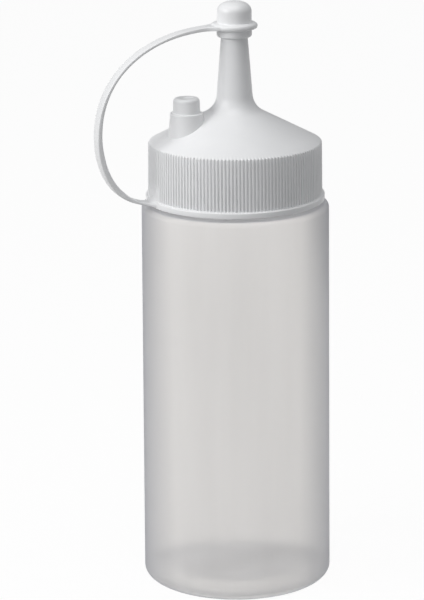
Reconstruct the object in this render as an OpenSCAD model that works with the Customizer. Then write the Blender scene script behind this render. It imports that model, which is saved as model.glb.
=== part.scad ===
// Squeeze bottle for sauce: a blow-moulded bottle, a flat seal, and a screw lid
// moulded in one shot with its pouring nozzle, parking post, strap and nozzle cap.
// The bottle's axis is Z and it stands on Z = 0. The strap leaves to the left and
// a little to the front. It bends along its whole length, so it is cut here into
// short links, each turning on the next about a round end.

/* [Bottle] */
// Outer diameter of the bottle under its shoulder
body_d = 70; // [67:0.5:84]
// How much wider the bottle is at its base than under its shoulder
body_flare = 1.3; // [0:0.1:4]
// Height of the shoulder above the table
shoulder_h = 146; // [90:1:240]
// Radius of the shoulder's outer edge
shoulder_round = 2.1; // [1.8:0.1:4]
// Radius of the base's outer edge
base_round = 3; // [2:0.1:8]
// Thickness of the bottle's wall
bottle_wall = 1.2; // [0.8:0.1:1.6]
// Width of the flat ring that the bottle stands on
standing_w = 3; // [1.5:0.1:6]
// How far the middle of the base is pushed up
base_rise = 3; // [1:0.1:6]
// Width of the slope between the standing ring and the pushed-up middle
base_slope_w = 8; // [4:0.5:14]

/* [Neck] */
// Room between the neck and the lid's skirt, where the two threads run
thread_room = 2.8; // [2:0.1:4]
// Thickness of the neck's wall
neck_wall = 1.6; // [1.2:0.1:2.4]

/* [Seal] */
// Thickness of the seal ring
seal_t = 1.2; // [0.8:0.1:2]
// How far the seal ring stands out past both sides of the neck's rim
seal_lap = 0.8; // [0.4:0.1:1.2]

/* [Lid] */
// Gap between the bottle's shoulder and the lid's lower edge
lid_gap = 1.2; // [0.6:0.1:2.5]
// Height of the lid from its lower edge to its rim
lid_h = 22; // [18:0.1:32]
// Diameter over the ribs, just above the bead
skirt_d = 65; // [60:0.1:67]
// How much narrower the skirt is at its rim than above the bead
skirt_draft = 0.4; // [0:0.1:1]
// Thickness of the lid's walls
lid_wall = 1.9; // [1.4:0.1:2.4]
// Radius of the rim between the skirt and the cone
rim_round = 0.8; // [0.6:0.1:3]
// Angle of the lid's cone above the horizontal
cone_angle = 27.7; // [18:0.1:38]
// Height of the bead round the lid's lower edge
bead_h = 2.2; // [1.2:0.1:4]
// How far the bead stands out from the skirt
bead_out = 0.9; // [0.4:0.05:1.5]
// Radius of the bead's edges
bead_round = 0.4; // [0.2:0.05:0.6]

/* [Ribs] */
// Number of grip ribs round the skirt
rib_count = 152; // [60:4:180]
// Depth of the grooves at the rim
rib_depth = 0.55; // [0.2:0.05:0.7]
// Share of each pitch that is rib
rib_share = 0.5; // [0.35:0.05:0.65]

/* [Nozzle] */
// Height of the collar's top above the lid's rim
spout_h = 42.1; // [30:0.1:60]
// Diameter of the nozzle just under its collar
nozzle_d = 9.9; // [9:0.1:10.6]
// Taper of the nozzle's outside, to each side
nozzle_taper = 4.5; // [2:0.1:7]
// Radius of the hollow curve between the cone and the nozzle
nozzle_fillet = 8; // [3:0.1:10]
// Diameter of the collar that the cap rests on
collar_d = 13; // [12:0.1:14]
// Height of the collar
collar_h = 3.1; // [2:0.1:5]
// Radius of the collar's lower edge
collar_round = 1; // [0.4:0.1:1.5]
// Height of the tip above the collar
tip_h = 6.5; // [4:0.1:7]
// How much narrower the tip is at its end than at the collar
tip_draft = 1.7; // [1.2:0.1:2.4]
// Radius of the tip's end
tip_round = 0.7; // [0.3:0.1:1]
// Diameter of the hole at the tip's end
outlet_d = 4; // [2:0.1:4.2]
// Diameter of the channel where the nozzle meets the cone
channel_d = 9.6; // [7:0.1:10.4]

/* [Parking post] */
// Distance of the post from the bottle's axis
post_reach = 19.1; // [17.5:0.1:21]
// Height of the post's step above the lid's rim
post_step_h = 12.1; // [11:0.1:16]
// Height of the pin above the step
post_pin_h = 5.6; // [3:0.1:6.5]
// Diameter of the post at its step
post_d = 12.2; // [11.6:0.1:13]
// Draft of the post below its step
post_draft = 4.6; // [0:0.1:6]
// Bevel of the post's step
post_bevel = 0.3; // [0.1:0.05:0.5]
// How much narrower the pin is at its end than at the step
pin_draft = 0.3; // [0:0.1:0.6]
// Radius of the pin's end
pin_round = 1.3; // [0.5:0.1:2]
// Diameter of the dimple in the pin's end
dimple_d = 4.6; // [3:0.1:5]
// Depth of the dimple
dimple_depth = 0.5; // [0.2:0.05:0.8]

/* [Nozzle cap] */
// Outer diameter of the cap above its flange
cap_d = 12.8; // [12.4:0.1:14]
// Height of the cap from its lower face to its top
cap_h = 10.2; // [9.9:0.1:13]
// Diameter of the cap's hollow at its mouth
cap_bore_d = 10.4; // [10:0.1:10.8]
// How much the hollow narrows over its straight part
cap_bore_draft = 1; // [0.6:0.1:1.2]
// Thickness of the cap's top
cap_top_wall = 1.2; // [0.8:0.1:1.8]
// Height of the rounded top of the cap
dome_h = 3.8; // [2:0.1:5]
// Diameter of the cap's flange
flange_d = 17.2; // [15.4:0.1:19]
// Thickness of the cap's flange
flange_t = 2.2; // [1.6:0.1:3]
// Play to each side between the tip and the cap's hollow
tip_play = 0.65; // [0.5:0.05:0.8]
// Play to each side between the post's pin and the cap's hollow
pin_play = 0.15; // [0.1:0.05:0.3]

/* [Strap] */
// Direction of the strap, turned from straight left towards the front
strap_azimuth = 22; // [0:1:45]
// Width of the strap
strap_w = 5.4; // [4:0.1:8]
// Thickness of the strap where it leaves the lid
strap_root_t = 2.4; // [1.8:0.1:3]
// Thickness of the strap where it meets the cap
strap_end_t = 1.5; // [1.2:0.1:1.7]
// How far the strap's outermost point stands out from the bead
strap_bulge = 20.3; // [15:0.1:30]
// Height of the strap's outermost point above the lid's lower edge
strap_bulge_h = 27.5; // [20:0.5:36]
// Height of the strap's middle above the lid's lower edge, at its root
strap_root_h = 1.2; // [1.2:0.1:2]
// Length over which the strap leaves the lid level
strap_root_reach = 17; // [10:0.5:19]
// Length over which it turns upright below its outermost point
strap_low_reach = 11.5; // [6:0.5:15]
// Length over which it starts to lean in above its outermost point
strap_high_reach = 24; // [14:0.5:30]
// Length over which it comes level before the cap
strap_end_reach = 24.5; // [15:0.5:32]
// Height of the strap's lower face above the flange's, where the two meet
strap_seat = 0.1; // [0:0.05:0.3]
// Gap between two links of the strap
link_gap = 0.3; // [0.2:0.05:0.4]
// Height of the web that carries the strap's root on the skirt
root_web_h = 3.4; // [1:0.1:6]
// How far the strap flares to each side where it meets the skirt
root_flare = 2.6; // [0.5:0.1:4]
// Length of the flare at the skirt
root_flare_reach = 5.5; // [3:0.1:6]
// How far the strap flares to each side where it meets the flange
cap_flare = 2.1; // [0.5:0.1:3]
// Length of the flare at the flange
cap_flare_reach = 5.5; // [3:0.1:6]

/* [Hidden] */
$fn = 96;
overlap = 0.5;
link_count = 8;
low_links = 3;
high_links = link_count - low_links;
curve_steps = 8;
dimple_steps = 4;
dome_fullness = 0.8;
web_fullness = 2.2;
flare_fullness = 2;
heading_step = 0.01;

// Levels, from the table upwards
lid_z = shoulder_h + lid_gap;
rim_z = lid_z + lid_h;
ceiling_z = rim_z - lid_wall;
neck_top_z = ceiling_z - seal_t;
collar_top_z = rim_z + spout_h;
collar_low_z = collar_top_z - collar_h;
tip_top_z = collar_top_z + tip_h;
post_step_z = rim_z + post_step_h;
post_top_z = post_step_z + post_pin_h;

// Radii
body_r = body_d / 2;
base_r = body_r + body_flare / 2;
standing_out_r = base_r - base_round;
standing_in_r = standing_out_r - standing_w;
skirt_r = skirt_d / 2;
rim_r = skirt_r - skirt_draft / 2;
groove_r = rim_r - rib_depth;
skirt_in_r = groove_r - lid_wall + rib_depth;
bead_r = skirt_r + bead_out;
neck_r = skirt_in_r - thread_room;
neck_in_r = neck_r - neck_wall;
land_in_r = neck_in_r - seal_lap;
tip_r = cap_bore_d / 2 - tip_play;
pin_r = cap_bore_d / 2 - pin_play;
pin_end_r = pin_r - pin_draft / 2;
post_r = post_d / 2;

// Points of an arc about [x, z], from angle a0 to a1
function arc(x, z, r, a0, a1, steps = curve_steps) = [
    for (i = [0:steps]) let (a = a0 + (a1 - a0) * i / steps) [x + r * cos(a), z + r * sin(a)]
];

// Pushed-up base, from the standing ring in to the middle, raised by lift
function base_curve(lift) = [
    for (i = [0:curve_steps]) [
        standing_in_r - base_slope_w * i / curve_steps,
        lift + base_rise * (1 - cos(180 * i / curve_steps)) / 2
    ]
];

function reversed(list) = [for (i = [len(list) - 1:-1:0]) list[i]];

bottle_profile = concat(
    [[0, base_rise]],
    reversed(base_curve(0)),
    arc(standing_out_r, base_round, base_round, -90, 0),
    arc(body_r - shoulder_round, shoulder_h - shoulder_round, shoulder_round, 0, 90),
    [[neck_r, shoulder_h], [neck_r, neck_top_z], [neck_in_r, neck_top_z]],
    [[neck_in_r, shoulder_h - bottle_wall]],
    arc(body_r - shoulder_round, shoulder_h - shoulder_round, shoulder_round - bottle_wall, 90, 0),
    arc(standing_out_r, base_round, base_round - bottle_wall, 0, -90),
    base_curve(bottle_wall),
    [[0, base_rise + bottle_wall]]
);

// The cone starts where the rounded rim has turned to its slope
rim_arc = arc(rim_r - rim_round, rim_z - rim_round, rim_round, 0, 90 - cone_angle, 4);
cone_start = rim_arc[len(rim_arc) - 1];
cone_level = sin(cone_angle) * cone_start.x + cos(cone_angle) * cone_start.y;
function cone_z(r, depth = 0) = (cone_level - depth - sin(cone_angle) * r) / cos(cone_angle);

// Centre of the hollow curve that touches both the cone and the tapered nozzle
fillet_a = cone_level + nozzle_fillet;
fillet_b = cos(nozzle_taper) * nozzle_d / 2 + sin(nozzle_taper) * collar_low_z + nozzle_fillet;
fillet_k = -cos(cone_angle + nozzle_taper);
fillet_x = (fillet_a * sin(nozzle_taper) - fillet_b * cos(cone_angle)) / fillet_k;
fillet_z = (fillet_b * sin(cone_angle) - fillet_a * cos(nozzle_taper)) / fillet_k;

lid_profile = concat(
    [[0, lid_z]],
    arc(bead_r - bead_round, lid_z + bead_round, bead_round, -90, 0, 4),
    arc(bead_r - bead_round, lid_z + bead_h - bead_round, bead_round, 0, 90, 4),
    [[skirt_r, lid_z + bead_h]],
    rim_arc,
    arc(fillet_x, fillet_z, nozzle_fillet, 270 - cone_angle, 180 + nozzle_taper, 12),
    [[nozzle_d / 2, collar_low_z]],
    arc(collar_d / 2 - collar_round, collar_low_z + collar_round, collar_round, -90, 0, 4),
    [[collar_d / 2, collar_top_z], [tip_r, collar_top_z]],
    arc(tip_r - tip_draft / 2 - tip_round, tip_top_z - tip_round, tip_round, 0, 90, 4),
    [[0, tip_top_z]]
);

cavity_profile = [
    [0, lid_z - overlap],
    [skirt_in_r, lid_z - overlap],
    [skirt_in_r, ceiling_z],
    [land_in_r, ceiling_z],
    [land_in_r, cone_z(land_in_r, lid_wall)],
    [channel_d / 2, cone_z(channel_d / 2, lid_wall)],
    [outlet_d / 2, tip_top_z + overlap],
    [0, tip_top_z + overlap]
];

post_base_z = cone_z(post_reach + post_r + lid_wall / 2, lid_wall / 2);
post_base_r = post_r + (post_step_z - post_base_z) * tan(post_draft);
post_profile = concat(
    [[0, post_base_z], [post_base_r, post_base_z], [post_r, post_step_z - post_bevel]],
    [[post_r - post_bevel, post_step_z], [pin_r, post_step_z]],
    arc(pin_end_r - pin_round, post_top_z - pin_round, pin_round, 0, 90, 5),
    [
        for (i = [0:dimple_steps]) let (a = 90 * i / dimple_steps)
            [dimple_d / 2 * cos(a), post_top_z - dimple_depth * sin(a)]
    ]
);

cap_straight_h = cap_h - dome_h;
function dome(r, z, h, steps = 10) = [
    for (i = [0:steps]) let (a = 90 * i / steps) [r * pow(cos(a), dome_fullness), z + h * sin(a)]
];
cap_in_r = cap_bore_d / 2 - cap_bore_draft / 2;
cap_in_h = cap_straight_h - cap_top_wall / 2;
cap_outer_profile = concat(
    [[0, 0]],
    arc(flange_d / 2 - flange_t / 2, flange_t / 2, flange_t / 2, -90, 90),
    [[cap_d / 2, flange_t]],
    dome(cap_d / 2, cap_straight_h, dome_h)
);
cap_inner_profile = concat(
    [[0, -overlap], [cap_bore_d / 2, -overlap], [cap_bore_d / 2, 0]],
    dome(cap_in_r, cap_in_h, cap_h - cap_top_wall - cap_in_h)
);

// Middle line of the strap in its own upright plane, as two curves that meet upright
// at the outermost point. u runs from 0 at the root over 1 there to 2 at the cap.
root_s = skirt_in_r + lid_wall / 2;
root_z = lid_z + strap_root_h;
bulge_s = bead_r + strap_bulge;
bulge_z = lid_z + strap_bulge_h;
end_s = flange_d / 2;
end_z = collar_top_z + strap_end_t / 2 + strap_seat;
low_curve = [
    [root_s, root_z], [root_s + strap_root_reach, root_z],
    [bulge_s, bulge_z - strap_low_reach], [bulge_s, bulge_z]
];
high_curve = [
    [bulge_s, bulge_z], [bulge_s, bulge_z + strap_high_reach],
    [end_s + strap_end_reach, end_z], [end_s, end_z]
];
function bezier(p, t) =
    pow(1 - t, 3) * p[0] + 3 * pow(1 - t, 2) * t * p[1] + 3 * (1 - t) * pow(t, 2) * p[2] + pow(t, 3) * p[3];
function route(u) = u <= 1 ? bezier(low_curve, u) : bezier(high_curve, u - 1);
function heading(u) =
    let (d = route(min(u + heading_step, 2)) - route(max(u - heading_step, 0))) d / norm(d);
function strap_t(u) = strap_root_t + (strap_end_t - strap_root_t) * u / 2;
function side(u, way) =
    let (h = heading(u)) route(u) + way * strap_t(u) / 2 * [-h.y, h.x];

// Where link k turns on the one before it, with k = 0 at the lid
first_hinge_u = 0.19;
last_hinge_u = 1.9;
function hinge_u(k) = k <= low_links
    ? first_hinge_u + (1 - first_hinge_u) * k / low_links
    : 1 + (last_hinge_u - 1) * (k - low_links) / high_links;

module in_strap_plane(width = strap_w) {
    rotate([0, 0, 180 + strap_azimuth])
        rotate([90, 0, 0])
            translate([0, 0, -width / 2])
                linear_extrude(width) children();
}

// Side view of the strap from u0 to u1
module band(u0, u1, steps = 6) {
    us = [for (i = [0:steps]) u0 + (u1 - u0) * i / steps];
    polygon(concat([for (u = us) side(u, 1)], [for (u = reversed(us)) side(u, -1)]));
}

// Round end, or with the gap added the hollow that it turns in, at hinge k
module knuckle(k, gap = 0, width = strap_w) {
    u = hinge_u(k);
    at = route(u);
    rotate([0, 0, 180 + strap_azimuth])
        translate([at.x, 0, at.y])
            rotate([90, 0, 0])
                cylinder(r = strap_t(u) / 2 + gap, h = width, center = true);
}

module strap_link(k) {
    color("gainsboro") {
        difference() {
            in_strap_plane() band(hinge_u(k - 1), hinge_u(k));
            knuckle(k - 1, link_gap, strap_w + 2 * overlap);
        }
        knuckle(k);
    }
}

module bottle() {
    color("lightgray") rotate_extrude() polygon(bottle_profile);
}

module seal_ring() {
    color("dimgray")
        translate([0, 0, neck_top_z])
            rotate_extrude()
                translate([neck_in_r - seal_lap / 2, 0])
                    square([neck_wall + seal_lap, seal_t]);
}

// Everything outside the bottoms of the grooves, between the bead and the rim
module grooves() {
    pitch = 360 / rib_count;
    land = pitch * rib_share / 2;
    slope = pitch * (1 - rib_share) / 4;
    out_r = bead_r + overlap;
    translate([0, 0, lid_z + bead_h])
        linear_extrude(lid_h - bead_h)
            difference() {
                circle(r = out_r + overlap);
                polygon([
                    for (i = [0:rib_count - 1]) each [
                        for (p = [
                            [-land - slope, groove_r], [-land, out_r],
                            [land, out_r], [land + slope, groove_r]
                        ])
                        p.y * [cos(i * pitch + p.x), sin(i * pitch + p.x)]
                    ]
                ]);
            }
}

// Keeps of its children what lies inside the strap's width, with a flare that starts
// at s and dies away over reach
module flared(s, reach, flare) {
    half_w = [
        for (i = [0:curve_steps]) let (t = i / curve_steps)
            [s + reach * t, strap_w / 2 + flare * pow(1 - t, flare_fullness)]
    ];
    plan = concat([[0, strap_w / 2 + flare]], half_w, [[bulge_s, strap_w / 2]]);
    intersection() {
        in_strap_plane(strap_w + 2 * flare) children();
        rotate([0, 0, 180 + strap_azimuth])
            linear_extrude(tip_top_z + cap_h)
                polygon(concat(plan, [for (p = reversed(plan)) [p.x, -p.y]]));
    }
}

// Root of the strap, with the curved web that blends it into the skirt
module strap_root() {
    web_top = lid_z + bead_h + root_web_h;
    web_end = side(first_hinge_u, 1);
    web = [
        for (i = [0:curve_steps]) let (t = i / curve_steps) [
            skirt_r - overlap + (web_end.x - skirt_r + overlap) * t,
            web_end.y + (web_top - web_end.y) * pow(1 - t, web_fullness)
        ]
    ];
    outline = concat(
        [[root_s, lid_z], [root_s, web_top]], web,
        [side(first_hinge_u, -1), [bead_r, lid_z]]
    );
    flared(skirt_r, root_flare_reach, root_flare) polygon(outline);
    knuckle(0);
}

module parking_post() {
    rotate([0, 0, 180 + strap_azimuth])
        translate([post_reach, 0, 0])
            rotate_extrude() polygon(post_profile);
}

// Hollow that keeps the post's wall as thin as the lid's
module post_core() {
    core_top_z = post_top_z - dimple_depth - lid_wall;
    core_low_z = post_base_z - lid_wall;
    rotate([0, 0, 180 + strap_azimuth])
        translate([post_reach, 0, core_low_z])
            cylinder(h = core_top_z - core_low_z, r1 = post_base_r - lid_wall, r2 = pin_r - lid_wall);
}

module screw_lid() {
    color("whitesmoke")
        difference() {
            union() {
                difference() {
                    rotate_extrude() polygon(lid_profile);
                    grooves();
                }
                parking_post();
                strap_root();
            }
            rotate_extrude() polygon(cavity_profile);
            post_core();
        }
}

module nozzle_cap() {
    color("white")
        difference() {
            union() {
                translate([0, 0, collar_top_z]) rotate_extrude() polygon(cap_outer_profile);
                flared(flange_d / 2 - flange_t / 2, cap_flare_reach, cap_flare) {
                    band(last_hinge_u, 2);
                    polygon([
                        side(2, -1), side(2, 1),
                        [cap_d / 2 - overlap, side(2, 1).y], [cap_d / 2 - overlap, side(2, -1).y]
                    ]);
                }
            }
            translate([0, 0, collar_top_z]) rotate_extrude() polygon(cap_inner_profile);
            knuckle(link_count, link_gap, strap_w + 2 * overlap);
        }
}

bottle();
seal_ring();
screw_lid();
for (k = [1:link_count])
    strap_link(k);
nozzle_cap();
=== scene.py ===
import math

import bmesh
import bpy
import numpy as np
from mathutils import Matrix, Vector


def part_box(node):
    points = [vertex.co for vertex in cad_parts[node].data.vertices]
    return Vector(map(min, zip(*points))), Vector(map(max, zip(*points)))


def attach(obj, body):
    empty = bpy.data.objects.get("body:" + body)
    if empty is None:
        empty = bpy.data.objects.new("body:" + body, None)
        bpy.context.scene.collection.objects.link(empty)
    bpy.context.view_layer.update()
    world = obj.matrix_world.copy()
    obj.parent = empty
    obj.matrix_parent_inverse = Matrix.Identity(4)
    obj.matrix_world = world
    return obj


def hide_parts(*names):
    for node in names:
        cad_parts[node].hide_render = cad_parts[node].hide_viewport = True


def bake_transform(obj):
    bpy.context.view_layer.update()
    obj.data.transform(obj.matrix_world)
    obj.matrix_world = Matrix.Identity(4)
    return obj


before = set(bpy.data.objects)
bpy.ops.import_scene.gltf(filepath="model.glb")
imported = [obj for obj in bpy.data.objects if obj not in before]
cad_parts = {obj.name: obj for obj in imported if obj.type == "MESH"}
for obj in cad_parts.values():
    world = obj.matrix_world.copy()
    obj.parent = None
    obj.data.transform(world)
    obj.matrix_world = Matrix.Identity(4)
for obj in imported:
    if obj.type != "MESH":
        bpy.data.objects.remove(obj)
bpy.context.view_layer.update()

# Sizes are in millimetres here and become metres when a mesh is made.
MM = 0.001


def node_box(name):
    low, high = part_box(name)
    return Vector(low) / MM, Vector(high) / MM


# Levels and radii read from the solids
BOTTLE_LOW, BOTTLE_HIGH = node_box("bottle")
LID_LOW, LID_HIGH = node_box("screw_lid")
SEAL_LOW, SEAL_HIGH = node_box("seal_ring")
CAP_HIGH = node_box("nozzle_cap")[1]
BASE_R = (BOTTLE_HIGH.x - BOTTLE_LOW.x) / 2
NECK_TOP_Z = BOTTLE_HIGH.z
LID_Z = LID_LOW.z
BEAD_R = LID_HIGH.x
CEILING_Z = SEAL_HIGH.z
TIP_TOP_Z = LID_HIGH.z
CAP_TOP_Z = CAP_HIGH.z

# Bottle
BODY_R = 35.0
SHOULDER_Z = 146.0
SHOULDER_ROUND = 2.1
BASE_ROUND = 3.0
WALL = 1.2
STANDING_W = 3.0
BASE_RISE = 3.0
BASE_SLOPE_W = 8.0
NECK_R = 27.6
NECK_WALL = 1.6
NECK_LIP_ROUND = 0.4
NECK_FOOT_ROUND = 0.6
BOTTLE_COLUMNS = 256

# Seal ring
SEAL_LAP = 0.4
SEAL_ROUND = 0.25
SEAL_COLUMNS = 160

# Lid
LID_H = 22.0
LID_WALL = 1.9
SKIRT_R = 32.5
RIM_R = 32.3
RIM_Z = LID_Z + LID_H
RIM_ROUND = 0.8
CONE_ANGLE = math.radians(27.7)
BEAD_H = 2.2
BEAD_ROUND = 0.4
SKIRT_IN_R = RIM_R - LID_WALL
RIB_COUNT = 152
RIB_DEPTH = 0.55
GROOVE_R = RIM_R - RIB_DEPTH
RIB_CROWN = 0.05
# The ribs fade out at the strap's root: they begin at an angle to its plane and grow over a turn,
# and above it they begin at a height over the lid's edge and grow over another
RIB_FADE_FROM = math.radians(7.0)
RIB_FADE_TURN = math.radians(4.0)
RIB_FADE_LOW = 6.0
RIB_FADE_H = 3.5
LAND_INSET = 0.8
COLLAR_TOP_Z = RIM_Z + 42.1
COLLAR_Z = COLLAR_TOP_Z - 3.1
COLLAR_R = 6.5
COLLAR_ROUND = 1.0
NOZZLE_R = 4.95
NOZZLE_TAPER = math.radians(4.5)
NOZZLE_FILLET = 8.0
TIP_R = 4.55
TIP_END_R = 3.7
TIP_ROUND = 0.7
OUTLET_R = 2.0
OUTLET_ROUND = 0.2
CHANNEL_R = 4.8

# Parking post
POST_REACH = 19.1
POST_STEP_Z = RIM_Z + 12.1
POST_TOP_Z = POST_STEP_Z + 5.6
POST_R = 6.1
POST_DRAFT = math.radians(4.6)
PIN_R = 5.05
PIN_END_R = 4.9
PIN_ROUND = 1.3
POST_STEP_ROUND = 0.3
PIN_FOOT_ROUND = 0.2
DIMPLE_R = 2.4
DIMPLE_RIM = 0.2
DIMPLE_RIM_DEPTH = 0.1
DIMPLE_DEPTH = 0.5
POST_COLUMNS = 96

# Nozzle cap
CAP_R = 6.4
FLANGE_R = 8.6
FLANGE_T = 2.2
DOME_H = 3.8
CAP_BORE_R = 5.2
CAP_WALL_TOP = 1.2
CAP_MOUTH_ROUND = 0.25
CAP_FOOT_ROUND = 0.35
CAP_COLUMNS = 128

# Strap
STRAP_TURN = math.radians(180 + 22)
STRAP_W = 5.2
STRAP_ROOT_T = 1.1
STRAP_LOW_T = 2.1
STRAP_HIGH_T = 1.1
STRAP_END_T = 1.5
STRAP_EDGE = 0.4
STRAP_SEAT = 0.1
ROOT_LIFT = 1.2
ROOT_REACH = 17.0
BULGE_REACH = 20.3
BULGE_H = 27.5
BULGE_LOW_REACH = 11.5
BULGE_HIGH_REACH = 24.0
END_REACH = 24.5
ROOT_WEB_H = 3.4
ROOT_WEB_REACH = 3.5
WEB_FULLNESS = 2.2
ROOT_FLARE = 2.6
CAP_FLARE = 2.1
FLARE_REACH = 5.5
STRAP_LINKS = 8
LOW_LINKS = 3
# Places along the strap's middle line, which runs from 0 at the root to 2 at the flange
FIRST_HINGE_U = 0.19
LAST_HINGE_U = 1.9
LOW_BEND_U = (0.35, 0.8)
HIGH_BEND_U = (1.35, 1.7)
BEND_REACH = 3.6
BEND_MARGIN = 0.03

# Thread
THREAD_LEAD = 4.0
THREAD_TURNS = 1.5
THREAD_ROOT_W = 2.0
THREAD_CREST_W = 1.0
THREAD_SINK = 0.3
NECK_THREAD_H = 1.3
LID_THREAD_H = 1.5
NECK_THREAD_Z = SHOULDER_Z + 9.0
LID_THREAD_Z = SHOULDER_Z + 5.0

# Photograph's camera, from a fit to the bottle's outline
CAMERA_AT = Vector((0.0, -1.033042, 0.396445))
CAMERA_PITCH = 0.2725
CAMERA_YAW = -0.0087
CAMERA_ROLL = -0.0081
CAMERA_LENS = 113.79
CAMERA_SENSOR_H = 24.0

# Edges sharper than these stay sharp
EDGE_ANGLE = math.radians(38)
LID_EDGE_ANGLE = math.radians(32)
THREAD_EDGE_ANGLE = math.radians(25)
ON_AXIS = 1e-6


# Mesh helpers

def mesh_object(name, verts, faces, sharp=EDGE_ANGLE):
    """An object from points in millimetres, smooth but for edges sharper than the angle."""
    mesh = bpy.data.meshes.new(name)
    mesh.from_pydata((np.asarray(verts, float) * MM).tolist(), [], faces)
    work = bmesh.new()
    work.from_mesh(mesh)
    bmesh.ops.recalc_face_normals(work, faces=work.faces)
    work.to_mesh(mesh)
    work.free()
    mesh.shade_smooth()
    mesh.set_sharp_from_angle(angle=sharp)
    obj = bpy.data.objects.new(name, mesh)
    bpy.context.scene.collection.objects.link(obj)
    return obj


def arc(x, z, r, a0, a1, steps=10):
    """Points of an arc in a profile, angles in degrees."""
    angles = np.radians(np.linspace(a0, a1, steps + 1))
    return [(x + r * math.cos(a), z + r * math.sin(a)) for a in angles]


def run(p, q, steps):
    """Points of a straight stretch, without its last one."""
    return [tuple(np.array(p) + (np.array(q) - np.array(p)) * i / steps) for i in range(steps)]


def ring_faces(pairs):
    """Faces between pairs of rings of vertex numbers, with no vertex twice in a face."""
    faces = []
    for low, high in pairs:
        for c in range(len(low)):
            d = (c + 1) % len(low)
            face = list(dict.fromkeys((low[c], low[d], high[d], high[c])))
            if len(face) > 2:
                faces.append(face)
    return faces


def number_rows(count, columns):
    """Numbers of the vertices of equal rings, one ring after the other."""
    return [list(range(i * columns, (i + 1) * columns)) for i in range(count)]


def lathe(name, profile, columns, centre=(0.0, 0.0)):
    """Turns a closed profile of (radius, height) points round an upright axis. A point on the axis
    becomes one vertex, and a profile that starts on the axis ends there too."""
    rows = []
    verts = []
    angles = np.arange(columns) * 2 * math.pi / columns
    for r, z in profile:
        if r < ON_AXIS:
            rows.append([len(verts)] * columns)
            verts.append((centre[0], centre[1], z))
            continue
        rows.append(list(range(len(verts), len(verts) + columns)))
        verts += [(centre[0] + r * math.cos(a), centre[1] + r * math.sin(a), z) for a in angles]
    pairs = list(zip(rows, rows[1:]))
    if profile[0][0] > ON_AXIS:
        pairs.append((rows[-1], rows[0]))
    return mesh_object(name, verts, ring_faces(pairs))


def sweep(name, rings, closed_ends, sharp=EDGE_ANGLE):
    """Joins rings of equally many points into a tube."""
    verts = [tuple(p) for ring in rings for p in ring]
    rows = number_rows(len(rings), len(rings[0]))
    faces = ring_faces(zip(rows, rows[1:]))
    if closed_ends[0]:
        faces.append(rows[0][::-1])
    if closed_ends[1]:
        faces.append(rows[-1])
    return mesh_object(name, verts, faces, sharp)


# Materials

def new_material(name):
    material = bpy.data.materials.new(name)
    material.use_nodes = True
    tree = material.node_tree
    shader = tree.nodes["Principled BSDF"]
    return material, tree, shader


def noise(tree, scale, detail=3.0, rough=0.5, stretch=(1, 1, 1)):
    """A noise texture in object space, its scale in waves per metre."""
    coords = tree.nodes.new("ShaderNodeTexCoord")
    mapping = tree.nodes.new("ShaderNodeMapping")
    mapping.inputs["Scale"].default_value = stretch
    texture = tree.nodes.new("ShaderNodeTexNoise")
    texture.inputs["Scale"].default_value = scale
    texture.inputs["Detail"].default_value = detail
    texture.inputs["Roughness"].default_value = rough
    tree.links.new(coords.outputs["Object"], mapping.inputs["Vector"])
    tree.links.new(mapping.outputs["Vector"], texture.inputs["Vector"])
    return texture.outputs["Fac"]


def ramp(tree, source, stops):
    """Colour of a source between stops of (place, colour)."""
    node = tree.nodes.new("ShaderNodeValToRGB")
    node.color_ramp.elements[0].position = stops[0][0]
    node.color_ramp.elements[0].color = (*stops[0][1], 1)
    node.color_ramp.elements[1].position = stops[-1][0]
    node.color_ramp.elements[1].color = (*stops[-1][1], 1)
    for at, colour in stops[1:-1]:
        node.color_ramp.elements.new(at).color = (*colour, 1)
    tree.links.new(source, node.inputs["Fac"])
    return node.outputs["Color"]


def bump(tree, shader, source, strength, distance, under=None):
    """Bumps of a source on a shader, over those of another bump's normal."""
    node = tree.nodes.new("ShaderNodeBump")
    node.inputs["Strength"].default_value = strength
    node.inputs["Distance"].default_value = distance
    tree.links.new(source, node.inputs["Height"])
    if under is not None:
        tree.links.new(under, node.inputs["Normal"])
    tree.links.new(node.outputs["Normal"], shader.inputs["Normal"])
    return node.outputs["Normal"]


def mixed(tree, first, second, share):
    """Mix of two shaders. share, of the second, is a number or a socket."""
    node = tree.nodes.new("ShaderNodeMixShader")
    if isinstance(share, float):
        node.inputs["Fac"].default_value = share
    else:
        tree.links.new(share, node.inputs["Fac"])
    tree.links.new(first, node.inputs[1])
    tree.links.new(second, node.inputs[2])
    return node.outputs[0]


def height_share(tree, top):
    """Height in object space as a share of a level in millimetres."""
    coords = tree.nodes.new("ShaderNodeTexCoord")
    split = tree.nodes.new("ShaderNodeSeparateXYZ")
    spread = tree.nodes.new("ShaderNodeMapRange")
    spread.inputs["From Max"].default_value = top * MM
    tree.links.new(coords.outputs["Object"], split.inputs[0])
    tree.links.new(split.outputs["Z"], spread.inputs["Value"])
    return spread.outputs["Result"]


def grey(value, blue=0.0):
    return (value, value + blue * 0.4, value + blue)


def lid_plastic():
    """White moulded polythene: soft gloss, a faint mottle and an even fine grain."""
    material, tree, shader = new_material("lid_plastic")
    mottle = noise(tree, 55.0, 4.0, 0.55)
    colour = ramp(tree, mottle, [(0.3, grey(0.86, 0.010)), (0.7, grey(0.90, 0.010))])
    tree.links.new(colour, shader.inputs["Base Color"])
    gloss = ramp(tree, noise(tree, 240.0, 3.0), [(0.3, (0.30,) * 3), (0.7, (0.40,) * 3)])
    tree.links.new(gloss, shader.inputs["Roughness"])
    shader.inputs["IOR"].default_value = 1.5
    waves = bump(tree, shader, noise(tree, 70.0, 2.0), 0.02, 0.0004)
    bump(tree, shader, noise(tree, 900.0, 2.0), 0.012, 0.00006, waves)
    return material


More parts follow.
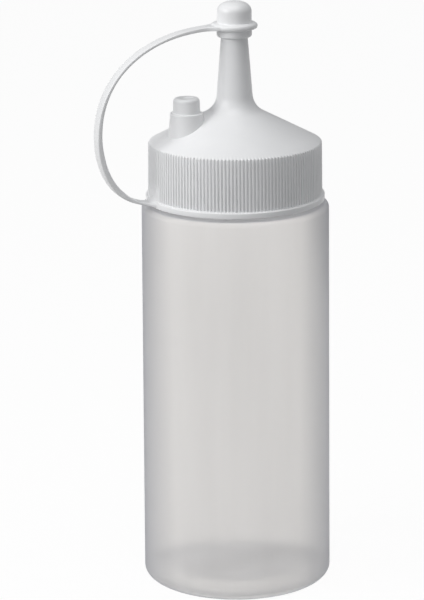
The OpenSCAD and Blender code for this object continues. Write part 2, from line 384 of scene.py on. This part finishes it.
def bottle_plastic():
    """Milky translucent polythene with upright flow streaks from blow moulding. A wall is one milky
    sheet: light is scattered where it enters, and passes freely where it leaves. The wall is
    thickest at the base and thinnest under the shoulder, where more shows through."""
    material, tree, shader = new_material("bottle_plastic")
    streaks = noise(tree, 60.0, 4.0, 0.55, (1.0, 1.0, 0.10))
    body = ramp(tree, streaks, [(0.3, (0.905, 0.895, 0.885)), (0.7, (0.95, 0.94, 0.93))])
    height = height_share(tree, NECK_TOP_Z)
    edge = tree.nodes.new("ShaderNodeLayerWeight")
    edge.inputs["Blend"].default_value = 0.5
    # Painted shade: the colour turns darker and cooler towards the outline, where the wall is seen
    # edge-on.
    shade = ramp(tree, edge.outputs["Facing"], [(0.3, (1.0, 1.0, 1.0)), (0.9, (0.58, 0.595, 0.635))])
    painted_edge_shade = tree.nodes.new("ShaderNodeMix")
    painted_edge_shade.data_type = "RGBA"
    painted_edge_shade.blend_type = "MULTIPLY"
    painted_edge_shade.inputs["Factor"].default_value = 1.0
    tree.links.new(body, painted_edge_shade.inputs["A"])
    tree.links.new(shade, painted_edge_shade.inputs["B"])
    colour = painted_edge_shade.outputs["Result"]
    tree.links.new(colour, shader.inputs["Base Color"])
    gloss = ramp(tree, noise(tree, 180.0, 3.0), [(0.3, (0.42,) * 3), (0.7, (0.52,) * 3)])
    tree.links.new(gloss, shader.inputs["Roughness"])
    shader.inputs["IOR"].default_value = 1.4
    waves = bump(tree, shader, noise(tree, 45.0, 2.0, 0.5, (1.0, 1.0, 0.25)), 0.15, 0.0006)
    bump(tree, shader, noise(tree, 1500.0, 2.0), 0.08, 0.00008, waves)
    through = tree.nodes.new("ShaderNodeBsdfTranslucent")
    tree.links.new(colour, through.inputs["Color"])
    clear = tree.nodes.new("ShaderNodeBsdfRefraction")
    clear.inputs["Roughness"].default_value = 0.5
    clear.inputs["IOR"].default_value = 1.12
    tree.links.new(colour, clear.inputs["Color"])
    leave = tree.nodes.new("ShaderNodeBsdfTransparent")
    facing = ramp(tree, edge.outputs["Facing"], [(0.2, (0.72,) * 3), (0.85, (0.10,) * 3)])
    thin = ramp(tree, height, [
        (0.0, (0.40,) * 3), (0.04, (0.58,) * 3), (0.12, (0.72,) * 3),
        (0.60, (0.74,) * 3), (0.76, (0.92,) * 3), (0.87, (1.0,) * 3),
    ])
    share = tree.nodes.new("ShaderNodeMath")
    share.operation = "MULTIPLY"
    tree.links.new(facing, share.inputs[0])
    tree.links.new(thin, share.inputs[1])
    side = tree.nodes.new("ShaderNodeNewGeometry").outputs["Backfacing"]
    back_lit = ramp(tree, height, [(0.0, (0.58,) * 3), (0.70, (0.58,) * 3), (0.88, (0.40,) * 3)])
    milky = mixed(tree, shader.outputs[0], through.outputs[0], back_lit)
    sheet = mixed(tree, milky, clear.outputs[0], share.outputs[0])
    whole = mixed(tree, sheet, leave.outputs[0], side)
    tree.links.new(whole, tree.nodes["Material Output"].inputs["Surface"])
    return material


def seal_rubber():
    """Grey rubber with a fine matt grain."""
    material, tree, shader = new_material("seal_rubber")
    colour = ramp(tree, noise(tree, 300.0), [(0.3, grey(0.42)), (0.7, grey(0.52))])
    tree.links.new(colour, shader.inputs["Base Color"])
    shader.inputs["Roughness"].default_value = 0.6
    bump(tree, shader, noise(tree, 1800.0, 2.0), 0.15, 0.00008)
    return material


WHITE = lid_plastic()
MILKY = bottle_plastic()
RUBBER = seal_rubber()


def dress(obj, material, body=None, nodes=()):
    """Gives a piece its material and slot, its body and the solids it stands for."""
    obj.data.materials.append(material)
    if body:
        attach(obj, body)
    if nodes:
        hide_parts(*nodes)
    return obj


# Bottle

def base_curve(lift, steps=14):
    """The hollow's slope, from the standing ring inwards."""
    inner = BASE_R - BASE_ROUND - STANDING_W
    return [
        (inner - BASE_SLOPE_W * i / steps, lift + BASE_RISE * (1 - math.cos(math.pi * i / steps)) / 2)
        for i in range(steps + 1)
    ]


def bottle_profile():
    standing = BASE_R - BASE_ROUND
    top_r = BODY_R - SHOULDER_ROUND
    neck_in = NECK_R - NECK_WALL
    lip = NECK_LIP_ROUND
    foot = NECK_FOOT_ROUND
    shoulder = arc(top_r, SHOULDER_Z - SHOULDER_ROUND, SHOULDER_ROUND, 0, 90, 12)
    corner = arc(standing, BASE_ROUND, BASE_ROUND, -90, 0, 14)
    points = [(0.0, BASE_RISE)]
    points += base_curve(0.0)[::-1]
    points += corner
    points += run(corner[-1], shoulder[0], 24)[1:]
    points += shoulder
    points += arc(NECK_R + foot, SHOULDER_Z + foot, foot, 270, 180, 5)
    points += arc(NECK_R - lip, NECK_TOP_Z - lip, lip, 0, 90, 4)
    points += arc(neck_in + lip, NECK_TOP_Z - lip, lip, 90, 180, 4)
    points += [
        (neck_in, SHOULDER_Z + 1.0), (neck_in + 0.4, SHOULDER_Z - 0.6), (neck_in + 1.2, SHOULDER_Z - WALL),
    ]
    points += arc(top_r, SHOULDER_Z - SHOULDER_ROUND, SHOULDER_ROUND - WALL, 90, 0, 8)
    inner = arc(standing, BASE_ROUND, BASE_ROUND - WALL, 0, -90, 10)
    points += run((BODY_R - WALL, SHOULDER_Z - SHOULDER_ROUND), inner[0], 24)[1:]
    points += inner
    points += base_curve(WALL)
    points += [(0.0, BASE_RISE + WALL)]
    return points


def thread(name, inner_r, outer_r, low_z, start=0.0, steps=96, fade=10):
    """A thread's ridge between two radii, with ends that run out over some steps."""
    rings = []
    total = int(steps * THREAD_TURNS)
    root = THREAD_ROOT_W / 2
    for i in range(total + 1):
        a = start + 2 * math.pi * i / steps
        z = low_z + THREAD_LEAD * i / steps
        grow = min(1.0, min(i, total - i) / fade + 0.02)
        crest_r = inner_r + (outer_r - inner_r) * grow
        crest = THREAD_CREST_W / 2 * grow
        outline = [(inner_r, -root), (crest_r, -crest), (crest_r, crest), (inner_r, root)]
        rings.append([(r * math.cos(a), r * math.sin(a), z + dz) for r, dz in outline])
    return sweep(name, rings, (True, True), THREAD_EDGE_ANGLE)


def make_bottle():
    shell = lathe("bottle_shell", bottle_profile(), BOTTLE_COLUMNS)
    dress(shell, MILKY, "bottle", ["bottle"])
    ridge = thread("neck_thread", NECK_R - THREAD_SINK, NECK_R + NECK_THREAD_H, NECK_THREAD_Z)
    dress(ridge, MILKY, "bottle")


# Seal ring

def make_seal():
    low_r = NECK_R - NECK_WALL - SEAL_LAP + SEAL_ROUND
    high_r = NECK_R + SEAL_LAP - SEAL_ROUND
    low = SEAL_LOW.z + SEAL_ROUND
    high = SEAL_HIGH.z - SEAL_ROUND
    profile = arc(high_r, low, SEAL_ROUND, -90, 0, 4)
    profile += arc(high_r, high, SEAL_ROUND, 0, 90, 4)
    profile += arc(low_r, high, SEAL_ROUND, 90, 180, 4)
    profile += arc(low_r, low, SEAL_ROUND, 180, 270, 4)
    dress(lathe("seal", profile, SEAL_COLUMNS), RUBBER, "seal", ["seal_ring"])


# Lid

def cone_line():
    """Level of the cone's surface along its own normal."""
    x = RIM_R - RIM_ROUND
    z = RIM_Z - RIM_ROUND
    return math.sin(CONE_ANGLE) * x + math.cos(CONE_ANGLE) * z + RIM_ROUND


def cone_z(r, depth=0.0):
    """Height of the cone at a radius, on its surface or at a depth under it."""
    return (cone_line() - depth - math.sin(CONE_ANGLE) * r) / math.cos(CONE_ANGLE)


def nozzle_fillet():
    """Centre of the hollow curve that touches the cone and the tapered nozzle."""
    a = cone_line() + NOZZLE_FILLET
    b = math.cos(NOZZLE_TAPER) * NOZZLE_R + math.sin(NOZZLE_TAPER) * COLLAR_Z + NOZZLE_FILLET
    matrix = np.array([
        [math.sin(CONE_ANGLE), math.cos(CONE_ANGLE)],
        [math.cos(NOZZLE_TAPER), math.sin(NOZZLE_TAPER)],
    ])
    return np.linalg.solve(matrix, [a, b])


# Columns of one rib as shares of its pitch, and the shares at which a flank starts and ends
RIB_STEPS = (-0.36, -0.215, 0.0, 0.215, 0.36, 0.5)
RIB_CREST = 0.15
RIB_FOOT = 0.3


def rib_columns():
    """Angles of the lid's columns."""
    pitch = 2 * math.pi / RIB_COUNT
    return np.array([(i + s) * pitch for i in range(RIB_COUNT) for s in RIB_STEPS])


def ribbed(r, z, columns):
    """Radii of one row of the lid, with the grooves between the ribs."""
    low = LID_Z + BEAD_H + 0.15
    radii = np.full(len(columns), r)
    if z < low or z > RIM_Z or r < GROOVE_R - 0.01:
        return radii
    share = np.abs(np.tile(np.array(RIB_STEPS), RIB_COUNT))
    groove = share > RIB_FOOT
    away = np.abs((columns - STRAP_TURN + math.pi) % (2 * math.pi) - math.pi)
    fade = np.clip((away - RIB_FADE_FROM) / RIB_FADE_TURN, 0, 1)
    above = min(1.0, max(0.0, (z - (LID_Z + RIB_FADE_LOW)) / RIB_FADE_H))
    depth = np.maximum(fade, above)
    radii -= RIB_CROWN * ((share > RIB_CREST) & (share < RIB_FOOT)) * depth
    radii[groove] = r - (r - GROOVE_R) * depth[groove]
    return radii


def lid_rows():
    """The lid's whole outline: skirt, rim, cone, nozzle, channel and inside."""
    fillet = nozzle_fillet()
    cone_deg = math.degrees(CONE_ANGLE)
    taper_deg = math.degrees(NOZZLE_TAPER)
    low_in = 0.5
    rows = arc(SKIRT_IN_R + low_in, LID_Z + low_in, low_in, 180, 270, 4)
    rows += arc(BEAD_R - BEAD_ROUND, LID_Z + BEAD_ROUND, BEAD_ROUND, -90, 0, 5)
    rows += arc(BEAD_R - BEAD_ROUND, LID_Z + BEAD_H - BEAD_ROUND, BEAD_ROUND, 0, 82, 5)
    bead_z = LID_Z + BEAD_H
    rows += [(SKIRT_R + 0.02, bead_z), (SKIRT_R, bead_z + 0.12), (SKIRT_R, bead_z + 0.3)]
    rim = arc(RIM_R - RIM_ROUND, RIM_Z - RIM_ROUND, RIM_ROUND, 0, 90 - cone_deg, 10)
    rows += run((SKIRT_R, bead_z + 0.6), rim[0], 12)
    rows += rim
    hollow = arc(fillet[0], fillet[1], NOZZLE_FILLET, 270 - cone_deg, 180 + taper_deg, 18)
    rows += run(rim[-1], hollow[0], 14)[1:]
    rows += hollow
    rows += run(hollow[-1], (NOZZLE_R, COLLAR_Z), 10)[1:]
    rows += [(NOZZLE_R, COLLAR_Z)]
    rows += arc(COLLAR_R - COLLAR_ROUND, COLLAR_Z + COLLAR_ROUND, COLLAR_ROUND, -90, 0, 6)
    rows += arc(COLLAR_R - 0.15, COLLAR_TOP_Z - 0.15, 0.15, 0, 90, 3)
    rows += [(TIP_R, COLLAR_TOP_Z)]
    rows += arc(TIP_END_R - TIP_ROUND, TIP_TOP_Z - TIP_ROUND, TIP_ROUND, 0, 90, 5)
    rows += arc(OUTLET_R + OUTLET_ROUND, TIP_TOP_Z - OUTLET_ROUND, OUTLET_ROUND, 90, 180, 3)
    channel_top = (OUTLET_R, TIP_TOP_Z - 2 * OUTLET_ROUND)
    channel_low = (CHANNEL_R, cone_z(CHANNEL_R, LID_WALL))
    rows += run(channel_top, channel_low, 8)
    land_r = NECK_R - NECK_WALL - LAND_INSET
    rows += run(channel_low, (land_r, cone_z(land_r, LID_WALL)), 6)
    rows += [(land_r, cone_z(land_r, LID_WALL)), (land_r, CEILING_Z), (SKIRT_IN_R, CEILING_Z)]
    rows += run((SKIRT_IN_R, CEILING_Z - 0.5), (SKIRT_IN_R, LID_Z + 1.0), 4)
    return rows


def make_lid_shell():
    columns = rib_columns()
    outline = lid_rows()
    verts = []
    for r, z in outline:
        verts += [(q * math.cos(a), q * math.sin(a), z) for q, a in zip(ribbed(r, z, columns), columns)]
    rows = number_rows(len(outline), len(columns))
    faces = ring_faces(zip(rows, rows[1:] + rows[:1]))
    shell = mesh_object("lid_shell", verts, faces, LID_EDGE_ANGLE)
    dress(shell, WHITE, "lid", ["screw_lid"])
    ridge = thread(
        "lid_thread", SKIRT_IN_R + THREAD_SINK, SKIRT_IN_R - LID_THREAD_H, LID_THREAD_Z, math.pi
    )
    dress(ridge, WHITE, "lid")


def strap_frame():
    """Outward direction of the strap's plane, and the plane's normal."""
    out = Vector((math.cos(STRAP_TURN), math.sin(STRAP_TURN), 0))
    normal = Vector((math.sin(STRAP_TURN), -math.cos(STRAP_TURN), 0))
    return out, -normal


def make_post():
    out, _ = strap_frame()
    low_z = cone_z(POST_REACH + POST_R + LID_WALL / 2, LID_WALL / 2)
    low_r = POST_R + (POST_STEP_Z - low_z) * math.tan(POST_DRAFT)
    step = POST_STEP_ROUND
    foot = PIN_FOOT_ROUND
    profile = [(0.0, low_z), (low_r, low_z)]
    profile += run((low_r, low_z + 0.01), (POST_R, POST_STEP_Z - step), 8)[1:]
    profile += arc(POST_R - step, POST_STEP_Z - step, step, 0, 90, 5)
    profile += arc(PIN_R + foot, POST_STEP_Z + foot, foot, 270, 180, 3)
    profile += arc(PIN_END_R - PIN_ROUND, POST_TOP_Z - PIN_ROUND, PIN_ROUND, 0, 90, 10)
    profile += [(DIMPLE_R + DIMPLE_RIM, POST_TOP_Z - 0.02)]
    rim_z = POST_TOP_Z - DIMPLE_RIM_DEPTH
    bowl = DIMPLE_DEPTH - DIMPLE_RIM_DEPTH
    profile += [
        (DIMPLE_R * math.cos(a), rim_z - bowl * math.sin(a)) for a in np.radians([0, 15, 30, 45, 60, 75])
    ]
    profile += [(0.0, POST_TOP_Z - DIMPLE_DEPTH)]
    post = lathe("parking_post", profile, POST_COLUMNS, (out.x * POST_REACH, out.y * POST_REACH))
    dress(post, WHITE, "lid")


# Strap: corners of its middle line's two curves, in its own plane

ROOT_S = SKIRT_IN_R + LID_WALL / 2
ROOT_Z = LID_Z + ROOT_LIFT
BULGE_S = BEAD_R + BULGE_REACH
BULGE_Z = LID_Z + BULGE_H
END_Z = COLLAR_TOP_Z + STRAP_END_T / 2 + STRAP_SEAT
LOW_CURVE = np.array([
    (ROOT_S, ROOT_Z), (ROOT_S + ROOT_REACH, ROOT_Z),
    (BULGE_S, BULGE_Z - BULGE_LOW_REACH), (BULGE_S, BULGE_Z),
])
HIGH_CURVE = np.array([
    (BULGE_S, BULGE_Z), (BULGE_S, BULGE_Z + BULGE_HIGH_REACH),
    (FLANGE_R + END_REACH, END_Z), (FLANGE_R, END_Z),
])


def bezier(p, t):
    q = 1 - t
    return q ** 3 * p[0] + 3 * q ** 2 * t * p[1] + 3 * q * t ** 2 * p[2] + t ** 3 * p[3]


def route(u):
    """Middle line of the strap: 0 at the root, 1 at its outermost point, 2 at the flange."""
    return bezier(LOW_CURVE, u) if u <= 1 else bezier(HIGH_CURVE, u - 1)


def heading(u):
    """Direction of the middle line."""
    d = route(min(u + 0.005, 2)) - route(max(u - 0.005, 0))
    return d / np.linalg.norm(d)


def hinge_u(k):
    """Where link k turns on the one before it, with k = 0 at the lid."""
    if k <= LOW_LINKS:
        return FIRST_HINGE_U + (1 - FIRST_HINGE_U) * k / LOW_LINKS
    return 1 + (LAST_HINGE_U - 1) * (k - LOW_LINKS) / (STRAP_LINKS - LOW_LINKS)


def in_space(s, z, n):
    """A point of the strap's plane, n to its side, in the row frame in millimetres."""
    out, normal = strap_frame()
    return (out.x * s + normal.x * n, out.y * s + normal.y * n, z)


def section(width, thick, edge, per_corner=5, top_steps=12):
    """Outline of the strap's section: a rectangle with round corners, as (across, up) points."""
    corners = []
    for cx, cy, a0 in ((1, 1, 0), (-1, 1, 90), (-1, -1, 180), (1, -1, 270)):
        x = cx * (width / 2 - edge)
        y = cy * (thick / 2 - edge)
        corners.append(arc(x, y, edge, a0, a0 + 90, per_corner))
    top = run(corners[0][-1], corners[1][0], top_steps)[1:]
    return corners[0] + top + corners[1] + corners[2] + corners[3]


def flare(s, start, size):
    """How far the strap stands out to each side of its own width, at s."""
    t = min(max((s - start) / FLARE_REACH, 0.0), 1.0)
    return size * (1 - t) ** 2


def strap_t(u):
    """Thickness of the strap."""
    at = (FIRST_HINGE_U, *LOW_BEND_U, *HIGH_BEND_U, 2.0)
    thick = (STRAP_ROOT_T, STRAP_LOW_T, STRAP_LOW_T, STRAP_HIGH_T, STRAP_HIGH_T, STRAP_END_T)
    return float(np.interp(u, at, thick))


def side(u, way):
    """Point of the strap's lower face, with way -1, or its upper, with way 1."""
    h = heading(u)
    return route(u) + way * strap_t(u) / 2 * np.array([-h[1], h[0]])


def slice_between(low, high, width, edge, side_t=None):
    """Ring of the strap's section between a point of its lower face and one of its upper. side_t is
    the thickness at the sides, where the middle is humped."""
    low = np.array(low)
    high = np.array(high)
    tall = np.linalg.norm(high - low)
    up = (high - low) / tall
    edge = min(edge, 0.49 * tall)
    spare = 0.0 if side_t is None else 1 - side_t / tall
    ring = []
    for across, rise in section(width, tall, edge):
        keep = 1 - spare * math.sin(math.pi * across / width) ** 2
        p = np.array(low) + up * (rise + tall / 2) * keep
        ring.append(in_space(p[0], p[1], across))
    return ring


def strap_ring(u):
    """Ring of the strap, which flares out towards the lid and the cap."""
    s = route(u)[0]
    out = flare(s, FLANGE_R - FLANGE_T / 2, CAP_FLARE) if u > 1 else flare(s, SKIRT_R, ROOT_FLARE)
    return slice_between(side(u, -1), side(u, 1), STRAP_W + 2 * out, STRAP_EDGE)


def root_rings(steps=20):
    """Strap's root from inside the skirt to hinge 0, its upper face drawn up into a web."""
    web_top = LID_Z + BEAD_H + ROOT_WEB_H
    web_low = ROOT_Z + STRAP_ROOT_T / 2
    rings = []
    for i in range(steps):
        u = FIRST_HINGE_U * i / steps
        low, high = side(u, -1), side(u, 1)
        t = min(max((high[0] - GROOVE_R) / (SKIRT_R + ROOT_WEB_REACH - GROOVE_R), 0.0), 1.0)
        high[1] = max(high[1], web_low + (web_top - web_low) * (1 - t) ** WEB_FULLNESS)
        width = STRAP_W + 2 * flare(high[0], SKIRT_R, ROOT_FLARE)
        rings.append(slice_between(low, high, width, STRAP_EDGE, strap_t(u)))
    return rings


def strap_piece(k):
    """Stretch of the strap that crosses hinge k, from the middle of one link to the next one's."""
    u0 = FIRST_HINGE_U if k == 0 else (hinge_u(k - 1) + hinge_u(k)) / 2
    u1 = 2.0 if k == STRAP_LINKS else (hinge_u(k) + hinge_u(k + 1)) / 2
    steps = 14
    rings = root_rings() if k == 0 else []
    rings += [strap_ring(u0 + (u1 - u0) * i / steps) for i in range(steps + 1)]
    if k == STRAP_LINKS:
        low, high = side(2.0, -1), side(2.0, 1)
        for inward in (1.0, 2.0):
            shift = np.array((inward, 0.0))
            width = STRAP_W + 2 * flare(FLANGE_R - inward, FLANGE_R - FLANGE_T / 2, CAP_FLARE)
            rings.append(slice_between(low - shift, high - shift, width, STRAP_EDGE))
    piece = sweep(f"strap_bend_{k}", rings, (k == 0, k == STRAP_LINKS))
    nodes = [f"strap_{k}"] if k else []
    dress(piece, WHITE, None, nodes)
    u = hinge_u(k)
    margin = BEND_MARGIN * (u1 - u0)
    start = route(u0 + margin) if k else route(u) - heading(u) * BEND_REACH
    end = route(u1 - margin) if k < STRAP_LINKS else route(u) + heading(u) * BEND_REACH
    start = Vector(in_space(*start, 0)) * MM
    end = Vector(in_space(*end, 0)) * MM
    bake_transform(piece)


def make_strap():
    for k in range(STRAP_LINKS + 1):
        strap_piece(k)


# Nozzle cap

def dome(r, z, h, steps=16, fullness=0.8):
    """Profile of a dome of height h up to the axis, fuller than an ellipse."""
    angles = np.radians(np.linspace(0, 90, steps + 1))
    points = [(r * max(math.cos(a), 0) ** fullness, z + h * math.sin(a)) for a in angles]
    return points[:-1] + [(0.0, z + h)]


def cap_profile():
    z = COLLAR_TOP_Z
    straight = CAP_TOP_Z - z - DOME_H
    half = FLANGE_T / 2
    foot = CAP_FOOT_ROUND
    inner_z = z + straight - CAP_WALL_TOP / 2
    points = [(CAP_BORE_R + CAP_MOUTH_ROUND, z)]
    points += arc(FLANGE_R - half, z + half, half, -90, 90, 14)
    points += arc(CAP_R + foot, z + FLANGE_T + foot, foot, 270, 180, 4)
    points += run((CAP_R, z + FLANGE_T + 0.5), (CAP_R, z + straight), 4)
    points += dome(CAP_R, z + straight, DOME_H)
    points += dome(CAP_BORE_R - 0.5, inner_z, CAP_TOP_Z - CAP_WALL_TOP - inner_z)[::-1]
    points += [(CAP_BORE_R, z + CAP_MOUTH_ROUND)]
    return points


def make_cap():
    shell = lathe("nozzle_cap_shell", cap_profile(), CAP_COLUMNS)
    dress(shell, WHITE, "cap", ["nozzle_cap"])


# Stage, light and camera

def seen_directly(tree, in_gloss=True):
    """1 for rays from the camera and those that pass through a surface, or also those off a gloss."""
    path = tree.nodes.new("ShaderNodeLightPath")
    seen = path.outputs["Is Camera Ray"]
    for kind in ["Is Transmission Ray"] + (["Is Glossy Ray"] if in_gloss else []):
        largest = tree.nodes.new("ShaderNodeMath")
        largest.operation = "MAXIMUM"
        tree.links.new(seen, largest.inputs[0])
        tree.links.new(path.outputs[kind], largest.inputs[1])
        seen = largest.outputs[0]
    return seen


def make_floor(half=3000.0):
    verts = [(-half, -half, 0), (half, -half, 0), (half, half, 0), (-half, half, 0)]
    floor = mesh_object("floor", verts, [[0, 1, 2, 3]])
    floor.location.z = -0.0002
    material, tree, shader = new_material("floor_white")
    seen = seen_directly(tree)
    shade = ramp(tree, seen, [(0.0, (0.35,) * 3), (1.0, (0.95,) * 3)])
    tree.links.new(shade, shader.inputs["Base Color"])
    shader.inputs["Roughness"].default_value = 0.9
    glow = tree.nodes.new("ShaderNodeEmission")
    glow.inputs["Strength"].default_value = 1.0
    share = ramp(tree, seen, [(0.0, (0.0,) * 3), (1.0, (0.95,) * 3)])
    whole = mixed(tree, shader.outputs[0], glow.outputs[0], share)
    tree.links.new(whole, tree.nodes["Material Output"].inputs["Surface"])
    floor.data.materials.append(material)


def make_world():
    world = bpy.data.worlds.new("studio")
    bpy.context.scene.world = world
    world.use_nodes = True
    tree = world.node_tree
    tree.nodes.clear()
    out = tree.nodes.new("ShaderNodeOutputWorld")
    soft = tree.nodes.new("ShaderNodeBackground")
    soft.inputs["Color"].default_value = (0.97, 0.98, 1.0, 1)
    soft.inputs["Strength"].default_value = 0.33
    white = tree.nodes.new("ShaderNodeBackground")
    path = tree.nodes.new("ShaderNodeLightPath")
    tone = ramp(tree, path.outputs["Is Camera Ray"], [(0.0, (0.8,) * 3), (1.0, (1.0,) * 3)])
    tree.links.new(tone, white.inputs["Color"])
    white.inputs["Strength"].default_value = 1.0
    mix = tree.nodes.new("ShaderNodeMixShader")
    tree.links.new(seen_directly(tree, False), mix.inputs["Fac"])
    tree.links.new(soft.outputs[0], mix.inputs[1])
    tree.links.new(white.outputs[0], mix.inputs[2])
    tree.links.new(mix.outputs[0], out.inputs["Surface"])


def area_light(name, at, size, energy):
    light = bpy.data.lights.new(name, "AREA")
    light.shape = "RECTANGLE"
    light.size, light.size_y = size
    light.energy = energy
    lamp = bpy.data.objects.new(name, light)
    lamp.location = at
    aim = Vector((0, 0, 0.14)) - Vector(at)
    lamp.rotation_euler = aim.to_track_quat("-Z", "Y").to_euler()
    bpy.context.scene.collection.objects.link(lamp)


def make_camera():
    cp, sp = math.cos(CAMERA_PITCH), math.sin(CAMERA_PITCH)
    cy, sy = math.cos(CAMERA_YAW), math.sin(CAMERA_YAW)
    forward = Vector((sy * cp, cy * cp, -sp))
    right = forward.cross(Vector((0, 0, 1))).normalized()
    up = right.cross(forward)
    cr, sr = math.cos(CAMERA_ROLL), math.sin(CAMERA_ROLL)
    side = right * cr + up * sr
    top = up * cr - right * sr
    data = bpy.data.cameras.new("camera")
    data.sensor_fit = "VERTICAL"
    data.sensor_height = CAMERA_SENSOR_H
    data.lens = CAMERA_LENS
    data.clip_start = 0.05
    camera = bpy.data.objects.new("camera", data)
    turn = Matrix((side, top, -forward)).transposed()
    camera.matrix_world = Matrix.Translation(CAMERA_AT) @ turn.to_4x4()
    bpy.context.scene.collection.objects.link(camera)
    bpy.context.scene.camera = camera


make_camera()
make_world()
make_floor()
area_light("key", (-0.95, -0.48, 0.66), (0.6, 0.6), 7.4)
area_light("top", (0.0, -0.28, 1.15), (0.7, 0.7), 3.6)
make_bottle()
make_seal()
make_lid_shell()
make_post()
make_strap()
make_cap()

bpy.context.scene.view_settings.view_transform = "Standard"
